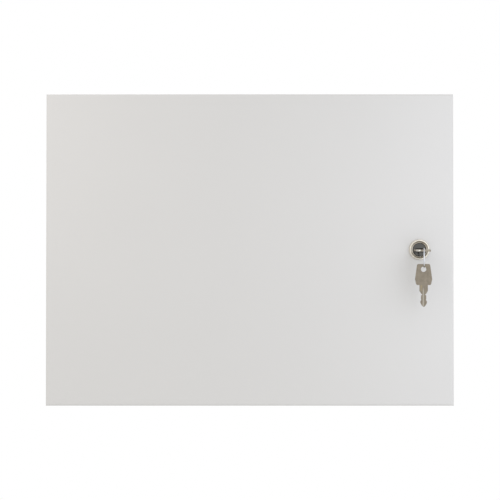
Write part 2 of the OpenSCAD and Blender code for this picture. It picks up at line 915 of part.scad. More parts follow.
module lock_plug() {
    color("dimgray") at_lock() difference() {
        union() {
            translate([0, 0, -plug_face_out]) {
                cylinder(h = plug_face_chamfer, r1 = plug_face_r - plug_face_chamfer, r2 = plug_face_r);
                translate([0, 0, plug_face_chamfer]) {
                    cylinder(h = plug_face_t - plug_face_chamfer, r = plug_face_r);
                }
            }
            cylinder(h = stop_at, d = plug_d);
            translate([0, 0, tail_end / 2]) cube([tail_w, tail_w, tail_end], center = true);
        }
        translate([0, 0, -plug_face_out - cut]) {
            translate([-keyway_w / 2, -keyway_h / 2, 0]) cube([keyway_w, keyway_h, blade_len + 2 * cut]);
        }
        wafer_places() cube([plug_d, wafer_w + screw_fit, wafer_t + screw_fit], center = true);
        translate([0, 0, tail_end - cam_screw_depth]) {
            cylinder(h = cam_screw_depth + cut, d = cam_screw_d + 2 * screw_fit);
        }
    }
}

// Flat wafers that the blade passes through, flush with the plug
module lock_wafers() {
    color("goldenrod") at_lock() wafer_places() {
        difference() {
            intersection() {
                cylinder(h = wafer_t, r = wafer_len_r, center = true);
                cube([plug_d, wafer_w, wafer_t], center = true);
            }
            cube([keyway_w, keyway_h, wafer_t + 2 * cut], center = true);
        }
    }
}

module tail_hole(t) {
    side = tail_w + 2 * screw_fit;
    translate([-side / 2, -side / 2, -cut]) cube([side, side, t + 2 * cut]);
}

// Washer with a tab that meets the lug on the lock's body at both ends of the quarter turn
module stop_washer() {
    color("silver") at_lock() translate([0, 0, stop_at]) difference() {
        union() {
            cylinder(h = stop_t, r = stop_disc_r);
            rotate([0, 0, stop_tab_at - stop_tab_angle / 2]) {
                rotate_extrude(angle = stop_tab_angle) square([stop_tab_r, stop_t]);
            }
        }
        tail_hole(stop_t);
    }
}

// Flat latch that hangs down when the lock is open
module lock_cam() {
    hub_r = cam_w / 2;
    color("silver") at_lock() translate([0, 0, cam_at]) difference() {
        linear_extrude(cam_t) {
            circle(hub_r);
            translate([-hub_r, 0]) square([cam_w, cam_len - cam_tip_r]);
            translate([-hub_r + cam_tip_r, 0]) square([cam_w - 2 * cam_tip_r, cam_len]);
            for (side = [-1, 1]) {
                translate([side * (hub_r - cam_tip_r), cam_len - cam_tip_r]) circle(cam_tip_r);
            }
        }
        tail_hole(cam_t);
    }
}

module cam_washer() {
    color("lightgray") at_lock() translate([0, 0, cam_at + cam_t]) {
        flat_washer(cam_screw_d, cam_washer_d, cam_washer_t);
    }
}

module cam_screw() {
    color("lightgray") at_lock() translate([0, 0, cam_at + cam_t + cam_washer_t]) {
        pan_screw(cam_screw_d, cam_washer_t + cam_screw_depth - screw_fit);
    }
}

// ---------- keys ----------

// Bow with its corners rounded, in the key's own plane
module bow_outline() {
    r = bow_corner_r;
    ends = [[bow_end_w, bow_end + r], [bow_max_w, bow_end + bow_max_at], [bow_base_w, -neck_len - r]];
    hull() {
        for (end = ends) {
            for (side = [-1, 1]) {
                translate([side * (end[0] / 2 - r), end[1]]) circle(r, $fn = 32);
            }
        }
    }
}

// Half of the blade's outline, from the shoulder to the tip
notch_end = notch_at + notch_len;
first_cut_at = notch_end + notch_rise;
first_cut_end = first_cut_at + first_cut_len;
second_cut_at = first_cut_end + cut_fall;
full_from = second_cut_at + cut_rise;
blade_edge = [
    [neck_w / 2, 0],
    [root_w / 2, shoulder_len],
    [notch_w / 2, notch_at],
    [notch_w / 2, notch_end],
    [first_cut_w / 2, first_cut_at],
    [first_cut_w / 2, first_cut_end],
    [second_cut_w / 2, second_cut_at],
    [blade_w / 2, full_from],
    [blade_w / 2, full_from + blade_full_len],
    [point_w / 2, blade_len - point_len],
    [tip_flat_w / 2, blade_len],
];

module blade_outline() {
    left = [for (i = [len(blade_edge) - 1:-1:0]) [-blade_edge[i][0], blade_edge[i][1]]];
    polygon(concat(blade_edge, left));
    translate([-neck_w / 2, -neck_len - bow_corner_r]) square([neck_w, neck_len + bow_corner_r]);
}

// One key in its own plane: the bow lies towards -Y and the tip towards +Y
module key_blank() {
    difference() {
        linear_extrude(key_t, center = true) {
            bow_outline();
            blade_outline();
        }
        translate([0, bow_hole_at, 0]) cylinder(h = key_t + 2 * cut, d = bow_hole_d, center = true);
        for (face = [0, 180]) {
            rotate([0, face, 0]) translate([0, 0, key_t / 2]) key_groove();
        }
    }
}

// V-shaped groove sunk into z = 0, pointed where it starts on the neck and open at the tip
module key_groove() {
    even_from = -neck_len + groove_in + groove_run_out;
    start = even_from - 2 * groove_run_out;
    end = blade_len + cut;
    top = groove_depth;
    points = [
        [0, start, top],
        [-groove_w, even_from, top],
        [groove_w, even_from, top],
        [0, even_from, -groove_depth],
        [-groove_w, end, top],
        [groove_w, end, top],
        [0, end, -groove_depth],
    ];
    faces = [[0, 1, 4, 5, 2], [5, 4, 6], [1, 3, 6, 4], [2, 5, 6, 3], [0, 3, 1], [0, 2, 3]];
    polyhedron(points, faces);
}

module lock_key() {
    color("darkkhaki") translate([lock_x, droop_y, 0]) {
        rotate([key_droop, 0, key_yaw]) translate([0, key_y - droop_y, 0]) key_blank();
    }
}

module key_ring() {
    color("silver") translate([ring_x, ring_y, ring_z]) rotate([0, 90, -ring_turn]) {
        rotate_extrude() translate([ring_r, 0]) circle(wire_r);
    }
}

module spare_key() {
    color("darkkhaki") translate([ring_x, ring_y, 0]) rotate([0, 0, -ring_turn]) {
        translate([-spare_aside, 0, spare_hole_z + bow_hole_at]) to_back() key_blank();
    }
}

// ---------- nodes ----------

case_shell();
mounting_plate();
plate_studs();
plate_washers();
plate_nuts();
gland_plate();
gland_gasket();
gland_studs();
gland_nuts();
earth_stud();
earth_washer();
earth_nut();
upper_hinge_bracket();
lower_hinge_bracket();
hinge_screws();
upper_hinge_pin();
lower_hinge_pin();
door_panel();
door_gasket();
upper_hinge_leaf();
lower_hinge_leaf();
door_earth_stud();
door_earth_washer();
door_earth_nut();
lock_barrel();
lock_washer();
lock_nut();
lock_plug();
lock_wafers();
stop_washer();
lock_cam();
cam_washer();
cam_screw();
lock_key();
key_ring();
spare_key();
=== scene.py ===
"""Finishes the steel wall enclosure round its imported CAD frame.

Lengths are in metres in the frame of the part: the wall is the plane y = 0, the door faces -Y and +Z is up.
"""

import logging
import math
from dataclasses import dataclass, replace
from enum import Enum
from typing import Mapping, Sequence, Union

import bmesh
import bpy
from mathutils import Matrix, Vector


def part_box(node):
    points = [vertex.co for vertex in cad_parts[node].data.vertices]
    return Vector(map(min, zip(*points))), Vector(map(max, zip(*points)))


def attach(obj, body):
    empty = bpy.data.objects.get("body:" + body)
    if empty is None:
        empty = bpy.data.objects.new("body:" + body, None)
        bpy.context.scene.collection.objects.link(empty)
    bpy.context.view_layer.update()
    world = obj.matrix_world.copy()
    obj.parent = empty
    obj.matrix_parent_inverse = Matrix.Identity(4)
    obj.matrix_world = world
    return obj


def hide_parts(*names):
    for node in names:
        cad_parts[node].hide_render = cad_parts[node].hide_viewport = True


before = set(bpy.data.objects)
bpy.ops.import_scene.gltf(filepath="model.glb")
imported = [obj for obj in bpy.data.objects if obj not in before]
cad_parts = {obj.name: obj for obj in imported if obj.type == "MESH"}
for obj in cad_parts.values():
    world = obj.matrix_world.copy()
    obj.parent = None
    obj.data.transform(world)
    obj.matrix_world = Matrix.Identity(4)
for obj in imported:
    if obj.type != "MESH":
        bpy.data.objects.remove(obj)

LOG = logging.getLogger("enclosure")
MM = 0.001
MERGE_DISTANCE = 0.001 * MM
BROKEN_EDGE_ANGLE = math.radians(38)
BROKEN_EDGE_FACETS = 2
THREAD_CREASE = math.radians(32)
WHITE = (1.0, 1.0, 1.0)

Socket = bpy.types.NodeSocket
Feed = Union[Socket, float, Sequence[float]]
Colour = tuple[float, float, float]
Point = tuple[float, float, float]
Range = tuple[float, float]
Feeds = Mapping[Union[str, int], Feed]
Element = Union[bmesh.types.BMVert, bmesh.types.BMEdge, bmesh.types.BMFace]

# The part of a noise's range that holds nearly all of its values, and that of two noises added
NOISE_BAND: Range = (0.3, 0.7)
LINES_BAND: Range = (0.35, 0.65)


class Lay(Enum):
    """The direction in which a metal was rolled, drawn or ground."""

    X = (0.04, 1.0, 1.0)
    Y = (1.0, 0.04, 1.0)
    Z = (1.0, 1.0, 0.04)


class Edge(Enum):
    """How far the edges of a piece are broken, in metres."""

    PAINTED = 0.30 * MM
    SHEARED = 0.20 * MM
    TUMBLED = 0.14 * MM
    FINE = 0.08 * MM


# ---------- shader trees ----------


class Wiring:
    """Adds and joins the nodes of one shader tree."""

    def __init__(self, tree: bpy.types.NodeTree) -> None:
        """Takes over a tree and empties it."""
        self.tree = tree
        tree.nodes.clear()

    def add(self, kind: str, feeds: Feeds | None = None, **settings: object) -> bpy.types.Node:
        """Adds a node.

        Args:
            kind: The node's type without its ShaderNode prefix, or a whole type name.
            feeds: What goes into its sockets: another socket, or a plain value.
            settings: The node's own attributes.

        Returns:
            The new node.
        """
        full = kind if kind.startswith(("ShaderNode", "NodeGroup")) else "ShaderNode" + kind
        node = self.tree.nodes.new(full)
        for name, value in settings.items():
            setattr(node, name, value)
        for name, value in (feeds or {}).items():
            self.feed(node.inputs[name], value)
        return node

    def feed(self, socket: Socket, value: Feed) -> None:
        """Joins a socket to another one, or sets its plain value.

        Args:
            socket: The input.
            value: Another node's output, or a number, vector or colour.
        """
        if isinstance(value, bpy.types.NodeSocket):
            self.tree.links.new(value, socket)
        elif socket.type == "RGBA" and len(value) == 3:
            socket.default_value = (*value, 1.0)
        else:
            socket.default_value = value

    def math(self, operation: str, *terms: Feed, clamp: bool = False) -> Socket:
        """Adds a Math node.

        Args:
            operation: Blender's name of the operation.
            terms: Its inputs in order.
            clamp: Whether the result is kept from 0 to 1.

        Returns:
            The result.
        """
        node = self.add("Math", dict(enumerate(terms)), operation=operation, use_clamp=clamp)
        return node.outputs[0]

    def spread(self, value: Feed, band: Range, result: Range = (0.0, 1.0)) -> Socket:
        """Maps a value from one range to another and keeps it in the second.

        Args:
            value: The value.
            band: The start and the end of its range.
            result: What the start and the end become.

        Returns:
            The mapped value.
        """
        bounds = {"From Min": band[0], "From Max": band[1], "To Min": result[0], "To Max": result[1]}
        return self.add("MapRange", {"Value": value, **bounds}, clamp=True).outputs["Result"]

    def times(self, vector: Feed, factors: Feed) -> Socket:
        """Multiplies a vector by another one, part by part."""
        return self.add("VectorMath", {0: vector, 1: factors}, operation="MULTIPLY").outputs["Vector"]

    def scaled(self, colour: Colour, factor: Feed) -> Socket:
        """Makes a colour lighter or darker by a factor."""
        node = self.add("VectorMath", {0: colour}, operation="SCALE")
        self.feed(node.inputs["Scale"], factor)
        return node.outputs["Vector"]

    def length(self, vector: Feed) -> Socket:
        """Gives the length of a vector."""
        return self.add("VectorMath", {0: vector}, operation="LENGTH").outputs["Value"]

    def noise(self, place: Feed, scale: Feed, detail: Feed, **more: float) -> bpy.types.Node:
        """Adds a noise.

        Args:
            place: Where it is read.
            scale: How many of its cells lie in a metre.
            detail: How many finer noises are added to it.
            more: Its other inputs, by their names in lower case.

        Returns:
            The noise's node.
        """
        others = {name.capitalize(): value for name, value in more.items()}
        return self.add("TexNoise", {"Vector": place, "Scale": scale, "Detail": detail, **others})

    def blend(self, share: Feed, first: Feed, second: Feed) -> Socket:
        """Mixes two colours.

        Args:
            share: How much of the second shows.
            first: The first colour.
            second: The second colour.

        Returns:
            The mixed colour.
        """
        node = self.add("Mix", data_type="RGBA")
        # Counted, because the node has an A, a B and a result of every type
        for place, value in ((0, share), (6, first), (7, second)):
            self.feed(node.inputs[place], value)
        return node.outputs[2]

    def place(self) -> Socket:
        """Gives the place of a point in the part's frame."""
        return self.add("TexCoord").outputs["Object"]

    def place_on(self, origin: Point, turn: Point) -> Socket:
        """Gives the place of a point in a piece's own frame.

        Args:
            origin: Where the piece's own origin lies.
            turn: How the piece is turned, in degrees about X, then Y, then Z.

        Returns:
            The place, seen from the piece.
        """
        angles = tuple(math.radians(angle) for angle in turn)
        feeds = {"Vector": self.place(), "Location": origin, "Rotation": angles}
        return self.add("Mapping", feeds, vector_type="TEXTURE").outputs["Vector"]

    def within(self, place: Socket, low: Point, high: Point, blur: float) -> Socket:
        """Gives 1 inside a box and 0 outside it.

        Args:
            place: The place that is tested.
            low: The box's lowest corner.
            high: The box's highest corner.
            blur: The width of its soft border.

        Returns:
            The mask.
        """
        parts = self.add("SeparateXYZ", {0: place})
        masks = []
        for axis, start, end in zip("XYZ", low, high):
            middle, half = (start + end) / 2, (end - start) / 2
            away = self.math("ABSOLUTE", self.math("SUBTRACT", parts.outputs[axis], middle))
            masks.append(self.spread(away, (half - blur, half), (1.0, 0.0)))
        return self.math("MULTIPLY", self.math("MULTIPLY", masks[0], masks[1]), masks[2])

    def bump(self, height: Feed, depth: float) -> Socket:
        """Gives the normal of a bump whose height of 1 is a depth in metres."""
        return self.add("Bump", {"Height": height, "Distance": depth, "Strength": 1.0}).outputs["Normal"]


def new_group(
    name: str, inputs: Mapping[str, tuple[str, object]], outputs: Mapping[str, str],
) -> tuple[Wiring, bpy.types.Node, bpy.types.Node]:
    """Starts a shader group.

    Args:
        name: The group's name.
        inputs: Each input's type and default value.
        outputs: Each output's type.

    Returns:
        The wiring of the group, its input node and its output node.
    """
    tree = bpy.data.node_groups.new(name, "ShaderNodeTree")
    wiring = Wiring(tree)
    for label, (kind, value) in inputs.items():
        socket = tree.interface.new_socket(label, in_out="INPUT", socket_type="NodeSocket" + kind)
        if value is not None:
            socket.default_value = value
    for label, kind in outputs.items():
        tree.interface.new_socket(label, in_out="OUTPUT", socket_type="NodeSocket" + kind)
    return wiring, wiring.add("NodeGroupInput"), wiring.add("NodeGroupOutput")


class Effect(Enum):
    """The shared shader groups, each with the name of the function that builds it."""

    GRAIN = "grain"
    DRAWN_LINES = "drawn_lines"
    TURNED_LINES = "turned_lines"
    EDGE_WEAR = "edge_wear"
    HANDLING = "handling"


class Effects:
    """Builds the shader groups that several finishes share."""

    SPECKLE_FINENESS = 2.7
    BROAD_LINES = 0.12
    LINE_ROUGHNESS = 0.6
    RING_SHARE = 0.7
    ROUND_PATCHES = 260.0
    SHARP_EDGE: Range = (0.995, 0.86)
    BREAK_BAND: Range = (0.35, 0.6)
    LEAST_EDGE_MARK = 0.35
    SMEAR_SWIRL = 0.6
    SCRATCH_WANDER = 1.2 * MM
    SCRATCH_FINENESS = 2.6
    SCRATCH_WIDTH = 0.012

    @staticmethod
    def use(wiring: Wiring, effect: Effect, feeds: Mapping[str, Feed]) -> bpy.types.Node:
        """Places an effect in a tree.

        Args:
            wiring: The tree.
            effect: Which effect.
            feeds: What goes into it.

        Returns:
            The group's node.
        """
        name = "effect_" + effect.value
        tree = bpy.data.node_groups.get(name) or getattr(Effects, effect.value)(name)
        node = wiring.add("Group", node_tree=tree)
        for label, value in feeds.items():
            wiring.feed(node.inputs[label], value)
        return node

    @staticmethod
    def grain(name: str) -> bpy.types.NodeTree:
        """Builds fine grain over slow clouds, as paint, foam and rubber have."""
        wiring, given, out = new_group(
            name,
            {"Place": ("Vector", None), "Size": ("Float", 0.001), "Detail": ("Float", 2.0),
             "Cloud Size": ("Float", 0.08), "Depth of Clouds": ("Float", 0.02)},
            {"Height": "Float", "Shade": "Float", "Speckle": "Float"},
        )
        place, size = given.outputs["Place"], given.outputs["Size"]
        fine = wiring.noise(place, wiring.math("DIVIDE", 1.0, size), given.outputs["Detail"])
        cloud = wiring.noise(place, wiring.math("DIVIDE", 1.0, given.outputs["Cloud Size"]), 1.0)
        speckle = wiring.noise(place, wiring.math("DIVIDE", Effects.SPECKLE_FINENESS, size), 0.0)
        about_zero = wiring.math("SUBTRACT", cloud.outputs[0], 0.5)
        swing = wiring.math("MULTIPLY", about_zero, given.outputs["Depth of Clouds"])
        wiring.feed(out.inputs["Height"], fine.outputs[0])
        wiring.feed(out.inputs["Shade"], wiring.math("ADD", swing, 1.0))
        wiring.feed(out.inputs["Speckle"], speckle.outputs[0])
        return wiring.tree

    @staticmethod
    def drawn_lines(name: str) -> bpy.types.NodeTree:
        """Builds the long fine lines that rolling, drawing or grinding leaves."""
        wiring, given, out = new_group(
            name,
            {"Place": ("Vector", None), "Lay": ("Vector", (1.0, 1.0, 1.0)), "Pitch": ("Float", 0.0004)},
            {"Height": "Float", "Streak": "Float"},
        )
        stretched = wiring.times(given.outputs["Place"], given.outputs["Lay"])
        pitch = given.outputs["Pitch"]
        fine_scale = wiring.math("DIVIDE", 1.0, pitch)
        fine = wiring.noise(stretched, fine_scale, 3.0, roughness=Effects.LINE_ROUGHNESS)
        broad = wiring.noise(stretched, wiring.math("DIVIDE", Effects.BROAD_LINES, pitch), 2.0)
        half_broad = wiring.math("MULTIPLY", broad.outputs[0], 0.5)
        wiring.feed(out.inputs["Height"], fine.outputs[0])
        wiring.feed(out.inputs["Streak"], wiring.math("MULTIPLY_ADD", fine.outputs[0], 0.5, half_broad))
        return wiring.tree

    @staticmethod
    def turned_lines(name: str) -> bpy.types.NodeTree:
        """Builds the fine rings that a turning tool leaves round an axis along Y."""
        wiring, given, out = new_group(
            name,
            {"Place": ("Vector", None), "Centre": ("Vector", (0.0, 0.0, 0.0)), "Pitch": ("Float", 0.0003)},
            {"Height": "Float", "Streak": "Float"},
        )
        both = {0: given.outputs["Place"], 1: given.outputs["Centre"]}
        off = wiring.add("VectorMath", both, operation="SUBTRACT").outputs["Vector"]
        radius = wiring.length(wiring.times(off, (1.0, 0.0, 1.0)))
        depth = wiring.add("SeparateXYZ", {0: off}).outputs["Y"]
        along = wiring.add("CombineXYZ", {"X": radius, "Y": depth})
        rings = wiring.noise(along.outputs[0], wiring.math("DIVIDE", 1.0, given.outputs["Pitch"]), 2.0)
        around = wiring.noise(off, Effects.ROUND_PATCHES, 1.0)
        patches = wiring.math("MULTIPLY", around.outputs[0], 1.0 - Effects.RING_SHARE)
        wiring.feed(out.inputs["Height"], rings.outputs[0])
        streak = wiring.math("MULTIPLY_ADD", rings.outputs[0], Effects.RING_SHARE, patches)
        wiring.feed(out.inputs["Streak"], streak)
        return wiring.tree

    @staticmethod
    def edge_wear(name: str) -> bpy.types.NodeTree:
        """Builds a mask that is 1 along sharp edges and breaks up with a fine noise."""
        wiring, given, out = new_group(
            name,
            {"Place": ("Vector", None), "Width": ("Float", 0.0004), "Break": ("Float", 900.0)},
            {"Edge": "Float"},
        )
        rounded = wiring.add("Bevel", {"Radius": given.outputs["Width"]}, samples=4)
        plain = wiring.add("NewGeometry").outputs["Normal"]
        turn = wiring.add("VectorMath", {0: rounded.outputs["Normal"], 1: plain}, operation="DOT_PRODUCT")
        noise = wiring.noise(given.outputs["Place"], given.outputs["Break"], 2.0)
        sharp = wiring.spread(turn.outputs["Value"], Effects.SHARP_EDGE)
        broken = wiring.spread(noise.outputs[0], Effects.BREAK_BAND, (Effects.LEAST_EDGE_MARK, 1.0))
        wiring.feed(out.inputs["Edge"], wiring.math("MULTIPLY", sharp, broken, clamp=True))
        return wiring.tree

    @staticmethod
    def handling(name: str) -> bpy.types.NodeTree:
        """Builds the faint smears and hairline scratches of handled metal."""
        wiring, given, out = new_group(
            name,
            {"Place": ("Vector", None), "Size": ("Float", 0.006)},
            {"Smear": "Float", "Scratch": "Float"},
        )
        place = given.outputs["Place"]
        scale = wiring.math("DIVIDE", 1.0, given.outputs["Size"])
        smear = wiring.noise(place, scale, 3.0, distortion=Effects.SMEAR_SWIRL)
        bent = wiring.noise(place, scale, 1.0)
        shift = wiring.times(bent.outputs["Color"], (Effects.SCRATCH_WANDER,) * 3)
        wander = wiring.add("VectorMath", {0: place, 1: shift}, operation="ADD")
        cell_scale = wiring.math("MULTIPLY", scale, Effects.SCRATCH_FINENESS)
        feeds = {"Vector": wander.outputs["Vector"], "Scale": cell_scale}
        cells = wiring.add("TexVoronoi", feeds, feature="DISTANCE_TO_EDGE")
        scratch = wiring.spread(cells.outputs[0], (0.0, Effects.SCRATCH_WIDTH), (1.0, 0.0))
        wiring.feed(out.inputs["Smear"], smear.outputs[0])
        wiring.feed(out.inputs["Scratch"], scratch)
        return wiring.tree


# ---------- finishes ----------


def about(middle: float, swing: float) -> Range:
    """Gives the range that reaches as far below a value as above it."""
    return middle - swing, middle + swing


@dataclass(frozen=True)
class Finish:
    """A finish, named after the surface, with the record's material slot that it stands for."""

    name: str
    slot: str
    colour: Colour
    roughness: float

    def material(self) -> bpy.types.Material:
        """Builds the material the first time and gives it back after that."""
        made = bpy.data.materials.get(self.name)
        if made is None:
            made = bpy.data.materials.new(self.name)
            made.use_nodes = True
            wiring = Wiring(made.node_tree)
            shader = wiring.add("BsdfPrincipled")
            output = wiring.add("OutputMaterial")
            wiring.feed(output.inputs["Surface"], shader.outputs["BSDF"])
            self.wire(wiring, shader)
        return made

    def wire(self, wiring: Wiring, shader: bpy.types.Node) -> None:
        """Joins the finish's own nodes to its shader.

        Args:
            wiring: The material's tree.
            shader: Its Principled BSDF.
        """
        raise NotImplementedError


@dataclass(frozen=True)
class PowderCoat(Finish):
    """Baked powder: an even semi-matt colour with a fine orange peel."""

    peel_size: float = 1.5 * MM
    peel_depth: float = 0.012 * MM
    peel_detail: float = 1.5
    cloud_size: float = 0.11
    cloud_depth: float = 0.02
    speckle_shade: Range = (0.985, 1.015)
    roughness_swing: float = 0.03
    ior: float = 1.5

    def wire(self, wiring: Wiring, shader: bpy.types.Node) -> None:
        """Joins the peel, the slow clouds and the fine speckle."""
        grain = Effects.use(wiring, Effect.GRAIN, {
            "Place": wiring.place(), "Size": self.peel_size, "Detail": self.peel_detail,
            "Cloud Size": self.cloud_size, "Depth of Clouds": self.cloud_depth,
        })
        speckle = wiring.spread(grain.outputs["Speckle"], NOISE_BAND, self.speckle_shade)
        shade = wiring.math("MULTIPLY", grain.outputs["Shade"], speckle)
        wiring.feed(shader.inputs["Base Color"], wiring.scaled(self.colour, shade))
        roughness_band = about(self.roughness, self.roughness_swing)
        rough = wiring.spread(grain.outputs["Speckle"], NOISE_BAND, roughness_band)
        wiring.feed(shader.inputs["Roughness"], rough)
        wiring.feed(shader.inputs["Normal"], wiring.bump(grain.outputs["Height"], self.peel_depth))
        shader.inputs["IOR"].default_value = self.ior


@dataclass(frozen=True)
class Plated(Finish):
    """Rolled or drawn metal with a thin plating: streaks along its lay, worn edges and faint smears; on the
    keys the edge colour is darker, painted shade along their edges.
    """

    lay: Lay = Lay.X
    pitch: float = 0.5 * MM
    line_depth: float = 0.004 * MM
    streak: float = 0.12
    edge_colour: Colour = (0.78, 0.78, 0.76)
    edge_width: float = 0.25 * MM
    edge_share: float = 0.6
    smear: float = 0.08
    smear_size: float = 9.0 * MM
    smear_polish: Range = (0.8, 1.25)
    scratch_share: float = 0.25

    def wire(self, wiring: Wiring, shader: bpy.types.Node) -> None:
        """Joins the lines, the smears, the scratches and the edge colour, which is worn bright metal on most
        pieces and painted shade on the keys.
        """
        place = wiring.place()
        rolled = {"Place": place, "Lay": self.lay.value, "Pitch": self.pitch}
        lines = Effects.use(wiring, Effect.DRAWN_LINES, rolled)
        marks = Effects.use(wiring, Effect.HANDLING, {"Place": place, "Size": self.smear_size})
        edge = Effects.use(wiring, Effect.EDGE_WEAR, {"Place": place, "Width": self.edge_width})
        shade = wiring.spread(lines.outputs["Streak"], LINES_BAND, about(1.0, self.streak))
        smeared = wiring.spread(marks.outputs["Smear"], NOISE_BAND, about(1.0, self.smear))
        tint = wiring.scaled(self.colour, wiring.math("MULTIPLY", shade, smeared))
        edge_wear_and_light = wiring.math("MULTIPLY", edge.outputs["Edge"], self.edge_share)
        wiring.feed(shader.inputs["Base Color"], wiring.blend(edge_wear_and_light, tint, self.edge_colour))
        roughness_band = tuple(self.roughness * share for share in self.smear_polish)
        rough = wiring.spread(marks.outputs["Smear"], NOISE_BAND, roughness_band)
        smoothing = -self.scratch_share * self.roughness
        scratched = wiring.math("MULTIPLY_ADD", marks.outputs["Scratch"], smoothing, rough)
        wiring.feed(shader.inputs["Roughness"], scratched)
        shader.inputs["Metallic"].default_value = 1.0
        wiring.feed(shader.inputs["Normal"], wiring.bump(lines.outputs["Height"], self.line_depth))


@dataclass(frozen=True)
class Turned(Finish):
    """Metal turned on a lathe and plated, with fine rings round its axis."""

    centre: Point = (0.0, 0.0, 0.0)
    pitch: float = 0.25 * MM
    ring_depth: float = 0.003 * MM
    streak: float = 0.08
    edge_colour: Colour = (0.8, 0.78, 0.74)
    edge_width: float = 0.2 * MM
    edge_share: float = 0.5
    smear_size: float = 5.0 * MM
    smear_polish: Range = (0.85, 1.2)

    def wire(self, wiring: Wiring, shader: bpy.types.Node) -> None:
        """Joins the rings, the smears and the bright edges, which are worn metal on the bezel and nut and a
        painted highlight on the plug's rims.
        """
        place = wiring.place()
        turned = {"Place": place, "Centre": self.centre, "Pitch": self.pitch}
        rings = Effects.use(wiring, Effect.TURNED_LINES, turned)
        marks = Effects.use(wiring, Effect.HANDLING, {"Place": place, "Size": self.smear_size})
        edge = Effects.use(wiring, Effect.EDGE_WEAR, {"Place": place, "Width": self.edge_width})
        shade = wiring.spread(rings.outputs["Streak"], LINES_BAND, about(1.0, self.streak))
        edge_wear_and_light = wiring.math("MULTIPLY", edge.outputs["Edge"], self.edge_share)
        tint = wiring.scaled(self.colour, shade)
        wiring.feed(shader.inputs["Base Color"], wiring.blend(edge_wear_and_light, tint, self.edge_colour))
        roughness_band = tuple(self.roughness * share for share in self.smear_polish)
        rough = wiring.spread(marks.outputs["Smear"], NOISE_BAND, roughness_band)
        wiring.feed(shader.inputs["Roughness"], rough)
        shader.inputs["Metallic"].default_value = 1.0
        wiring.feed(shader.inputs["Normal"], wiring.bump(rings.outputs["Height"], self.ring_depth))


@dataclass(frozen=True)
class KeyMetal(Plated):
    """Plated key blank: paler along its grooves, a painted highlight of the blade's rib, and of another
    colour at one place, rubbed through on the spare key and a painted highlight on the key in the lock.

    The key's own frame has its origin on the shoulder, X across the key, Y to its tip and Z through it.
    """

    origin: Point = (0.0, 0.0, 0.0)
    turn: Point = (0.0, 0.0, 0.0)
    groove_low: Point = (-0.95 * MM, -4.2 * MM, -0.88 * MM)
    groove_high: Point = (0.95 * MM, 17.0 * MM, 0.88 * MM)
    groove_blur: float = 0.04 * MM
    groove_highlight_colour: Colour = (0.31, 0.285, 0.235)
    rub_and_highlight_colour: Colour = (0.37, 0.305, 0.18)
    rub_and_highlight_low: Point = (-3.6 * MM, -6.0 * MM, -1.2 * MM)
    rub_and_highlight_high: Point = (-1.2 * MM, 0.2 * MM, 1.2 * MM)
    rub_and_highlight_blur: float = 0.5 * MM
    rub_and_highlight_raggedness: float = 700.0
    rub_and_highlight_band: Range = (0.36, 0.5)

    def wire(self, wiring: Wiring, shader: bpy.types.Node) -> None:
        """Joins what every plated piece has, then lays over it the painted highlight along the grooves and
        the patch, which is rubbed through on the spare key and a painted highlight on the bow of the key in
        the lock.
        """
        super().wire(wiring, shader)
        plating = shader.inputs["Base Color"].links[0].from_socket
        own = wiring.place_on(self.origin, self.turn)
        groove = wiring.within(own, self.groove_low, self.groove_high, self.groove_blur)
        # Painted highlight along the blade's rib, laid over the plating.
        with_groove_highlight = wiring.blend(groove, plating, self.groove_highlight_colour)
        # The patch is rubbed-through brass on the spare key and a painted highlight on the bow of the key in
        # the lock.
        patch = wiring.within(own, self.rub_and_highlight_low, self.rub_and_highlight_high, self.rub_and_highlight_blur)
        noise = wiring.noise(own, self.rub_and_highlight_raggedness, 3.0)
        ragged = wiring.math("MULTIPLY", patch, wiring.spread(noise.outputs[0], self.rub_and_highlight_band))
        wiring.feed(shader.inputs["Base Color"], wiring.blend(ragged, with_groove_highlight, self.rub_and_highlight_colour))


@dataclass(frozen=True)
class Rubber(Finish):
    """Flat or foamed rubber: a dull dark skin with pores."""

    pore_size: float = 0.6 * MM
    pore_depth: float = 0.05 * MM
    pore_spacing: float = 0.6
    pore_wall: Range = (0.1, 0.35)
    pore_painted_shade: Range = (0.75, 1.0)
    pore_share: float = 0.6
    cloud_size: float = 0.02
    mottle: float = 0.25
    roughness_swing: float = 0.06

    def wire(self, wiring: Wiring, shader: bpy.types.Node) -> None:
        """Joins the pores and the mottled skin."""
        place = wiring.place()
        grain = Effects.use(wiring, Effect.GRAIN, {
            "Place": place, "Size": self.pore_size, "Detail": 3.0,
            "Cloud Size": self.cloud_size, "Depth of Clouds": self.mottle,
        })
        pores = wiring.add("TexVoronoi", {"Vector": place, "Scale": self.pore_spacing / self.pore_size})
        # The pores are darkened as well as sunk: painted shade in the pits.
        pit = wiring.spread(pores.outputs["Distance"], self.pore_wall)
        pore_painted_shade = wiring.spread(pit, (0.0, 1.0), self.pore_painted_shade)
        shade = wiring.math("MULTIPLY", grain.outputs["Shade"], pore_painted_shade)
        wiring.feed(shader.inputs["Base Color"], wiring.scaled(self.colour, shade))
        roughness_band = about(self.roughness, self.roughness_swing)
        rough = wiring.spread(grain.outputs["Speckle"], NOISE_BAND, roughness_band)
        wiring.feed(shader.inputs["Roughness"], rough)
        pitted = wiring.math("MULTIPLY", pit, self.pore_share)
        height = wiring.math("MULTIPLY_ADD", grain.outputs["Height"], 1.0 - self.pore_share, pitted)
        wiring.feed(shader.inputs["Normal"], wiring.bump(height, self.pore_depth))


# ---------- making and dressing pieces ----------


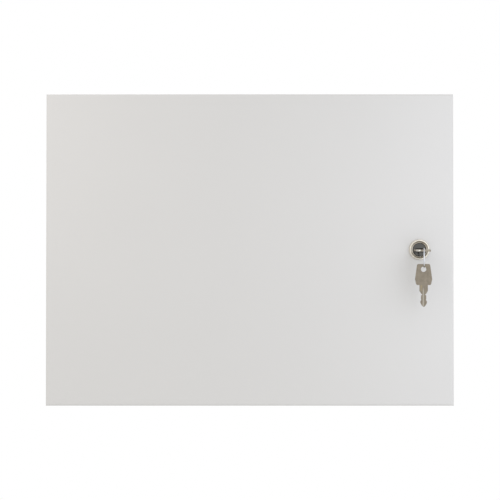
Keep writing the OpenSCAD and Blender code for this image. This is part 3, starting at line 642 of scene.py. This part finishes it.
def soften(piece: bpy.types.Object, edge: Edge) -> None:
    """Breaks the sharp edges of a piece with live modifiers.

    Args:
        piece: The piece.
        edge: How far its edges are broken.
    """
    weld = piece.modifiers.new("weld", "WELD")
    weld.merge_threshold = MERGE_DISTANCE
    bevel = piece.modifiers.new("edges", "BEVEL")
    bevel.width = edge.value
    bevel.segments = BROKEN_EDGE_FACETS
    bevel.limit_method = "ANGLE"
    bevel.angle_limit = BROKEN_EDGE_ANGLE
    bevel.use_clamp_overlap = True
    normals = piece.modifiers.new("normals", "WEIGHTED_NORMAL")
    normals.keep_sharp = False


def dress(node: str, finish: Finish, edge: Edge | None = None) -> None:
    """Gives a CAD node its finish.

    Args:
        node: The node's name.
        finish: Its finish.
        edge: How far its edges are broken, or None to leave them.
    """
    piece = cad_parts[node]
    piece.material_slots[0].material = finish.material()
    if edge is not None:
        soften(piece, edge)
    LOG.info("dressed %s with %s", node, finish.name)


def finished(mesh: bpy.types.Mesh, name: str, finish: Finish, body: str, *replaced: str) -> None:
    """Makes a new piece of the object from its mesh.

    Args:
        mesh: The mesh, in the part's frame.
        name: The piece's name.
        finish: Its finish.
        body: The body that it rides on.
        replaced: The CAD nodes that it stands for.
    """
    mesh.materials.clear()
    mesh.materials.append(finish.material())
    piece = put(name, mesh)
    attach(piece, body)
    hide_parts(*replaced)
    LOG.info("made %s for %s", name, ", ".join(replaced))


def merged_copy(node: str) -> bpy.types.Mesh:
    """Gives a closed copy of a CAD node's mesh, with its doubles merged."""
    shape = bmesh.new()
    shape.from_mesh(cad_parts[node].data)
    bmesh.ops.remove_doubles(shape, verts=shape.verts, dist=MERGE_DISTANCE)
    mesh = bpy.data.meshes.new(node + "_merged")
    shape.to_mesh(mesh)
    shape.free()
    return mesh


def put(name: str, mesh: bpy.types.Mesh) -> bpy.types.Object:
    """Puts a mesh in the scene as an object."""
    placed = bpy.data.objects.new(name, mesh)
    bpy.context.scene.collection.objects.link(placed)
    return placed


@dataclass(frozen=True)
class Thread:
    """A cut metric thread on one or more parallel axes.

    Its margin, depth and flat root are shares of the pitch.
    """

    diameter: float
    pitch: float
    start: float
    length: float
    direction: Point
    feet: Sequence[Point]
    steps: int = 28
    margin: float = 0.03
    depth: float = 0.6
    flat_root: float = 1 / 7
    flank: float = math.radians(30)

    def groove(self) -> bpy.types.Mesh:
        """Builds the metal that the thread takes away, as one closed helix on each axis."""
        shape = bmesh.new()
        axis = Vector(self.direction).normalized()
        side = axis.orthogonal().normalized()
        turns = math.ceil(self.length / self.pitch)
        margin = self.margin * self.pitch
        depth = self.depth * self.pitch
        half_root = self.flat_root * self.pitch / 2
        half_crest = half_root + (depth + margin) * math.tan(self.flank)
        base = Vector(self.feet[0]) + axis * self.start
        inner, outer = self.diameter / 2 - depth, self.diameter / 2 + margin
        profile = (inner, -half_root), (outer, -half_crest), (outer, half_crest), (inner, half_root)
        section = [shape.verts.new(base + side * radius + axis * rise) for radius, rise in profile]
        ring = [shape.edges.new((section[i], section[i - 1])) for i in range(len(section))]
        bmesh.ops.spin(
            shape, geom=[*section, *ring], cent=base, axis=axis, dvec=axis * (self.pitch / self.steps),
            angle=2 * math.pi, steps=self.steps,
        )
        turn = [*shape.verts, *shape.edges, *shape.faces]
        for count in range(1, turns):
            self.copy(shape, turn, axis * (self.pitch * count))
        bmesh.ops.remove_doubles(shape, verts=shape.verts, dist=MERGE_DISTANCE)
        ends = [edge for edge in shape.edges if edge.is_boundary]
        bmesh.ops.holes_fill(shape, edges=ends, sides=len(section))
        bmesh.ops.recalc_face_normals(shape, faces=shape.faces)
        helix = [*shape.verts, *shape.edges, *shape.faces]
        for foot in self.feet[1:]:
            self.copy(shape, helix, Vector(foot) - Vector(self.feet[0]))
        mesh = bpy.data.meshes.new("thread_groove")
        shape.to_mesh(mesh)
        shape.free()
        return mesh

    @staticmethod
    def copy(shape: bmesh.types.BMesh, geometry: Sequence[Element], offset: Vector) -> None:
        """Copies part of a mesh and moves the copy.

        Args:
            shape: The mesh.
            geometry: What is copied.
            offset: Where the copy goes.
        """
        made = bmesh.ops.duplicate(shape, geom=geometry)["geom"]
        points = [item for item in made if isinstance(item, bmesh.types.BMVert)]
        bmesh.ops.translate(shape, verts=points, vec=offset)


def cut_thread(node: str, thread: Thread) -> bpy.types.Mesh:
    """Cuts a thread into a copy of a CAD node.

    Args:
        node: The node's name.
        thread: What is cut.

    Returns:
        The cut mesh.
    """
    blank = put(node + "_blank", merged_copy(node))
    cutter = put("thread_cutter", thread.groove())
    cut = blank.modifiers.new("thread", "BOOLEAN")
    cut.operation = "DIFFERENCE"
    cut.solver = "MANIFOLD"
    cut.object = cutter
    bpy.context.view_layer.update()
    graph = bpy.context.evaluated_depsgraph_get()
    mesh = bpy.data.meshes.new_from_object(blank.evaluated_get(graph))
    for helper in (blank, cutter):
        bpy.data.objects.remove(helper)
    mesh.shade_smooth()
    mesh.set_sharp_from_angle(angle=THREAD_CREASE)
    return mesh


# ---------- finishes of this enclosure ----------

LOCK_LOW, LOCK_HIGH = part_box("lock_barrel")
LOCK_AXIS: Point = tuple((LOCK_LOW + LOCK_HIGH) / 2)
LOCK_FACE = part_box("door_panel")[0].y
SPARE_LOW, SPARE_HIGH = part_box("spare_key")

# The keys, from their shoulder to the end of the bow, and how they hang, in degrees
KEY_BOW_END = 27.3 * MM
KEY_DROOP = 2.2
KEY_LEAN = 2.0
RING_TURN = 8.2

# The shoulder of the key in the lock, from the lock's axis at the front of the door
LOCKED_KEY_ASIDE = 0.31 * MM
LOCKED_KEY_FORWARD = 2.52 * MM
LOCKED_KEY_BELOW = 0.34 * MM

CASE_PAINT = PowderCoat("paint_warm_white", "powder_coat", (0.695, 0.685, 0.668), 0.46)
PLATE_ZINC = Plated(
    "zinc_sheet", "zinc_plate", (0.60, 0.62, 0.62), 0.36, lay=Lay.Z, pitch=0.7 * MM, streak=0.07,
)
BRACKET_ZINC = Plated("zinc_bracket", "zinc_plate", (0.58, 0.60, 0.61), 0.33, lay=Lay.X)
CAM_ZINC = Plated("zinc_cam", "zinc_plate", (0.57, 0.59, 0.60), 0.30, lay=Lay.Z)
FASTENER_ZINC = Plated(
    "zinc_fastener_finish", "zinc_fastener", (0.62, 0.63, 0.62), 0.28, lay=Lay.Y, pitch=0.3 * MM,
    streak=0.08, smear_size=5.0 * MM,
)
LOCK_NICKEL = Turned(
    "satin_nickel", "nickel_bezel", (0.70, 0.66, 0.575), 0.40, centre=LOCK_AXIS, streak=0.05,
    edge_colour=(0.76, 0.73, 0.66), edge_share=0.3,
)
# The plug's dark base colour is a painted dark reflection on bright chrome, and its lighter edge colour is a
# painted highlight on its rims.
PLUG_CHROME = Turned(
    "plug_chrome_painted_dark_reflection", "dark_chrome", (0.066, 0.0638, 0.0574), 0.12, centre=LOCK_AXIS,
    pitch=0.2 * MM, ring_depth=0.002 * MM, edge_colour=(0.45, 0.44, 0.42),
)
WAFER_BRASS = Plated(
    "brass_wafer", "wafer_brass", (0.60, 0.44, 0.20), 0.30, lay=Lay.X, edge_colour=(0.72, 0.56, 0.28),
)
# The keys' dark grey-brown is partly a painted dark reflection on their plated metal; the warm tint is the
# metal's own.
KEY_NICKEL = KeyMetal(
    "hanging_key_nickel", "nickel_silver", (0.272, 0.237, 0.187), 0.36, lay=Lay.Z, pitch=0.25 * MM,
    # The darker edge colour here is painted shade along the keys' rounded edges.
    streak=0.08, edge_colour=(0.20, 0.17, 0.13), edge_width=0.35 * MM, edge_share=0.5,
    smear=0.10, smear_size=4.0 * MM,
    origin=((SPARE_LOW.x + SPARE_HIGH.x) / 2, (SPARE_LOW.y + SPARE_HIGH.y) / 2, SPARE_HIGH.z - KEY_BOW_END),
    turn=(-90.0, 0.0, -RING_TURN),
)
# On the key in the lock the pale patch on the left of the bow's end is a painted highlight, not wear.
LOCKED_KEY_NICKEL = replace(
    KEY_NICKEL, name="lock_key_nickel", lay=Lay.Y, rub_and_highlight_colour=(0.80, 0.78, 0.70),
    rub_and_highlight_low=(-12.0 * MM, -28.5 * MM, -1.4 * MM), rub_and_highlight_high=(-3.9 * MM, -20.0 * MM, 1.4 * MM),
    origin=(LOCK_AXIS[0] + LOCKED_KEY_ASIDE, LOCK_FACE - LOCKED_KEY_FORWARD, -LOCKED_KEY_BELOW),
    turn=(KEY_DROOP, 0.0, KEY_LEAN),
)
RING_STEEL = Plated(
    "ring_wire", "ring_steel", (0.62, 0.63, 0.66), 0.18, lay=Lay.Y, pitch=0.2 * MM, streak=0.05,
)
SEAL_FOAM = Rubber("seal_skin", "seal_foam", (0.060, 0.060, 0.062), 0.72, pore_size=0.7 * MM)
FLAT_RUBBER = Rubber(
    "gland_rubber_finish", "gland_rubber", (0.035, 0.035, 0.036), 0.62,
    pore_size=0.4 * MM, pore_depth=0.02 * MM,
)


# ---------- sub-assemblies ----------


@dataclass
class CaseBody:
    """The folded case with its mounting plate and cable entry."""

    plate_thread: float = 6.0 * MM
    plate_pitch: float = 1.0 * MM
    gland_thread: float = 4.0 * MM
    gland_pitch: float = 0.7 * MM
    seat_height: float = 10.8 * MM
    seat_radius: float = 6.0 * MM
    bare_root: float = 1.6 * MM

    def build(self) -> None:
        """Dresses the sheet metal and cuts the threads of the plate and gland studs."""
        dress("case_shell", CASE_PAINT, Edge.PAINTED)
        dress("gland_plate", CASE_PAINT, Edge.PAINTED)
        dress("mounting_plate", PLATE_ZINC, Edge.SHEARED)
        dress("gland_gasket", FLAT_RUBBER)
        for node in ("plate_washers", "plate_nuts", "gland_nuts"):
            dress(node, FASTENER_ZINC, Edge.FINE)
        self.plate_studs()
        self.gland_studs()

    def plate_studs(self) -> None:
        """Cuts the thread of the four studs that hold the mounting plate."""
        low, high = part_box("plate_studs")
        seat = high.y - self.seat_height
        inset = self.seat_radius
        columns, rows = (low.x + inset, high.x - inset), (low.z + inset, high.z - inset)
        feet = [(x, seat, z) for x in columns for z in rows]
        length = seat - low.y - self.bare_root + self.plate_pitch
        thread = Thread(self.plate_thread, self.plate_pitch, self.bare_root, length, (0.0, -1.0, 0.0), feet)
        mesh = cut_thread("plate_studs", thread)
        finished(mesh, "threaded_plate_studs", FASTENER_ZINC, "case", "plate_studs")

    def gland_studs(self) -> None:
        """Cuts the thread of the six studs round the cable entry."""
        low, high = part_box("gland_studs")
        inset = self.gland_thread / 2
        columns = (low.x + inset, (low.x + high.x) / 2, high.x - inset)
        feet = [(x, y, low.z) for x in columns for y in (low.y + inset, high.y - inset)]
        length = high.z - low.z - self.bare_root + self.gland_pitch
        thread = Thread(self.gland_thread, self.gland_pitch, self.bare_root, length, (0.0, 0.0, 1.0), feet)
        mesh = cut_thread("gland_studs", thread)
        finished(mesh, "threaded_gland_studs", FASTENER_ZINC, "case", "gland_studs")


@dataclass
class EarthPoints:
    """The earth studs of the case and of the door."""

    thread: float = 6.0 * MM
    pitch: float = 1.0 * MM
    seat_height: float = 3.0 * MM
    bare_root: float = 1.0 * MM

    def build(self) -> None:
        """Cuts the threads and dresses the washers and nuts."""
        self.stud("earth_stud", "case", -1)
        self.stud("door_earth_stud", "door", 1)
        for node in ("earth_washer", "earth_nut", "door_earth_washer", "door_earth_nut"):
            dress(node, FASTENER_ZINC, Edge.FINE)

    def stud(self, node: str, body: str, facing: int) -> None:
        """Cuts the thread of one earth stud.

        Args:
            node: The stud's CAD node.
            body: The body that it rides on.
            facing: The sign of Y in which it points.
        """
        low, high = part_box(node)
        root = low.y if facing > 0 else high.y
        foot = ((low.x + high.x) / 2, root + facing * self.seat_height, (low.z + high.z) / 2)
        length = high.y - low.y - self.seat_height - self.bare_root + self.pitch
        thread = Thread(self.thread, self.pitch, self.bare_root, length, (0.0, float(facing), 0.0), [foot])
        finished(cut_thread(node, thread), "threaded_" + node, FASTENER_ZINC, body, node)


@dataclass
class Hinges:
    """The two concealed hinges."""

    sides: Sequence[str] = ("upper", "lower")

    def build(self) -> None:
        """Dresses the brackets, leaves, pins and screws."""
        for side in self.sides:
            dress(side + "_hinge_bracket", BRACKET_ZINC, Edge.SHEARED)
            dress(side + "_hinge_leaf", CASE_PAINT, Edge.SHEARED)
            dress(side + "_hinge_pin", FASTENER_ZINC, Edge.FINE)
        dress("hinge_screws", FASTENER_ZINC, Edge.FINE)


@dataclass
class DoorPan:
    """The folded door and its foamed seal."""

    def build(self) -> None:
        """Dresses the door and the seal."""
        dress("door_panel", CASE_PAINT)
        dress("door_gasket", SEAL_FOAM)


@dataclass
class CamLock:
    """The wafer cam lock."""

    thread: float = 18.0 * MM
    pitch: float = 1.0 * MM
    behind_bezel: float = 0.6 * MM
    facets: int = 72

    def build(self) -> None:
        """Cuts the thread of the lock's body and dresses the rest."""
        self.body()
        dress("lock_nut", LOCK_NICKEL, Edge.FINE)
        dress("lock_plug", PLUG_CHROME, Edge.FINE)
        dress("lock_wafers", WAFER_BRASS)
        dress("lock_cam", CAM_ZINC, Edge.SHEARED)
        for node in ("lock_washer", "stop_washer", "cam_washer", "cam_screw"):
            dress(node, FASTENER_ZINC, Edge.FINE)

    def body(self) -> None:
        """Cuts the thread into the lock's body, between the bezel and the stop."""
        foot = (LOCK_AXIS[0], LOCK_FACE, LOCK_AXIS[2])
        length = LOCK_HIGH.y - LOCK_FACE
        inward = (0.0, 1.0, 0.0)
        thread = Thread(self.thread, self.pitch, self.behind_bezel, length, inward, [foot], self.facets)
        mesh = cut_thread("lock_barrel", thread)
        finished(mesh, "threaded_lock_body", LOCK_NICKEL, "door", "lock_barrel")


@dataclass
class KeySet:
    """The key in the lock, the ring and the spare key."""

    def build(self) -> None:
        """Dresses the keys and the ring."""
        dress("lock_key", LOCKED_KEY_NICKEL, Edge.TUMBLED)
        dress("spare_key", KEY_NICKEL, Edge.TUMBLED)
        dress("key_ring", RING_STEEL)


# ---------- studio ----------


@dataclass(frozen=True)
class SoftBox:
    """A rectangular soft light that looks at a point."""

    name: str
    place: Point
    target: Point
    width: float
    height: float
    power: float
    colour: Colour = WHITE

    def build(self) -> None:
        """Places the light, which lights the object without being seen."""
        lamp = bpy.data.lights.new(self.name, "AREA")
        lamp.shape = "RECTANGLE"
        lamp.size, lamp.size_y = self.width, self.height
        lamp.energy, lamp.color = self.power, self.colour
        holder = bpy.data.objects.new(self.name, lamp)
        holder.location = self.place
        aim = Vector(self.target) - Vector(self.place)
        holder.rotation_euler = aim.to_track_quat("-Z", "Y").to_euler()
        holder.visible_camera = False
        bpy.context.scene.collection.objects.link(holder)


@dataclass
class Studio:
    """The camera, the lights, the floor and the white surroundings."""

    distance: float = 1.25
    lens: float = 86.4
    sensor: float = 36.0
    clip: Range = (0.05, 60.0)
    pitch: float = math.radians(0.78)
    rise: float = 0.3 * MM
    aside: float = 0.2 * MM
    floor_z: float = -0.45
    floor_size: float = 14.0
    floor_near: float = 0.35
    floor_far: float = 0.58
    floor_colour: Colour = (0.86, 0.86, 0.85)
    floor_roughness: float = 0.9
    fill: float = 0.84
    lights: Sequence[SoftBox] = (
        SoftBox("right_softbox", (0.40, -0.42, 0.03), (0.3, -0.1, 0.0), 0.4, 0.6, 0.59, (0.94, 1.0, 1.14)),
        SoftBox("left_softbox", (-0.40, -0.42, 0.18), (-0.3, -0.1, 0.0), 0.4, 0.6, 0.41, (1.065, 1.0, 0.96)),
        SoftBox("back_softbox", (-0.7, 1.3, 0.9), (0.0, 0.0, 0.0), 1.0, 0.8, 8.0),
    )

    def build(self) -> None:
        """Builds the studio round the object."""
        self.camera()
        self.surroundings()
        self.floor()
        for light in self.lights:
            light.build()
            LOG.info("placed %s", light.name)
        bpy.context.scene.view_settings.view_transform = "Standard"

    def camera(self) -> None:
        """Places the camera a little below the middle of the door, looking slightly up."""
        low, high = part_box("door_panel")
        centre_x, centre_z = (low.x + high.x) / 2, (low.z + high.z) / 2
        below = self.rise + self.distance * math.tan(self.pitch)
        data = bpy.data.cameras.new("camera")
        data.lens, data.sensor_width = self.lens, self.sensor
        data.clip_start, data.clip_end = self.clip
        holder = bpy.data.objects.new("camera", data)
        holder.location = (centre_x + self.aside, low.y - self.distance, centre_z - below)
        holder.rotation_euler = (math.pi / 2 + self.pitch, 0.0, 0.0)
        bpy.context.scene.collection.objects.link(holder)
        bpy.context.scene.camera = holder

    @staticmethod
    def seen_directly(wiring: Wiring) -> Socket:
        """Gives 1 for rays from the camera, from a mirror or through glass."""
        path = wiring.add("LightPath")
        mirrored = wiring.math("MAXIMUM", path.outputs["Is Glossy Ray"], path.outputs["Is Transmission Ray"])
        return wiring.math("MAXIMUM", path.outputs["Is Camera Ray"], mirrored)

    def surroundings(self) -> None:
        """Makes the world white where it is seen and softer where it lights."""
        world = bpy.data.worlds.new("studio")
        world.use_nodes = True
        wiring = Wiring(world.node_tree)
        seen = wiring.add("Background", {"Color": WHITE, "Strength": 1.0})
        lighting = wiring.add("Background", {"Color": WHITE, "Strength": self.fill})
        share = self.seen_directly(wiring)
        mixed = wiring.add("MixShader", {0: share, 1: lighting.outputs[0], 2: seen.outputs[0]})
        output = wiring.add("OutputWorld")
        wiring.feed(output.inputs["Surface"], mixed.outputs[0])
        bpy.context.scene.world = world

    def floor(self) -> None:
        """Lays the pale floor, which turns white away from the object."""
        shape = bmesh.new()
        bmesh.ops.create_grid(shape, x_segments=1, y_segments=1, size=self.floor_size / 2)
        bmesh.ops.translate(shape, verts=shape.verts, vec=(0.0, 0.0, self.floor_z))
        mesh = bpy.data.meshes.new("floor")
        shape.to_mesh(mesh)
        shape.free()
        material = bpy.data.materials.new("floor_pale")
        material.use_nodes = True
        wiring = Wiring(material.node_tree)
        away = wiring.length(wiring.times(wiring.place(), (1.0, 1.0, 0.0)))
        fading = wiring.spread(away, (self.floor_near, self.floor_far))
        share = wiring.math("MULTIPLY", fading, self.seen_directly(wiring))
        coat = {"Base Color": self.floor_colour, "Roughness": self.floor_roughness}
        matt = wiring.add("BsdfPrincipled", coat)
        white = wiring.add("Emission", {"Color": WHITE, "Strength": 1.0})
        mixed = wiring.add("MixShader", {0: share, 1: matt.outputs[0], 2: white.outputs[0]})
        output = wiring.add("OutputMaterial")
        wiring.feed(output.inputs["Surface"], mixed.outputs[0])
        mesh.materials.append(material)
        floor = put("floor", mesh)


def main() -> None:
    """Builds every sub-assembly and the studio."""
    logging.basicConfig(level=logging.INFO, format="%(name)s: %(message)s")
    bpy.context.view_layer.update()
    Studio().build()
    for assembly in (CaseBody(), EarthPoints(), Hinges(), DoorPan(), CamLock(), KeySet()):
        assembly.build()
        LOG.info("finished %s", type(assembly).__name__)


if __name__ == "__main__":
    main()
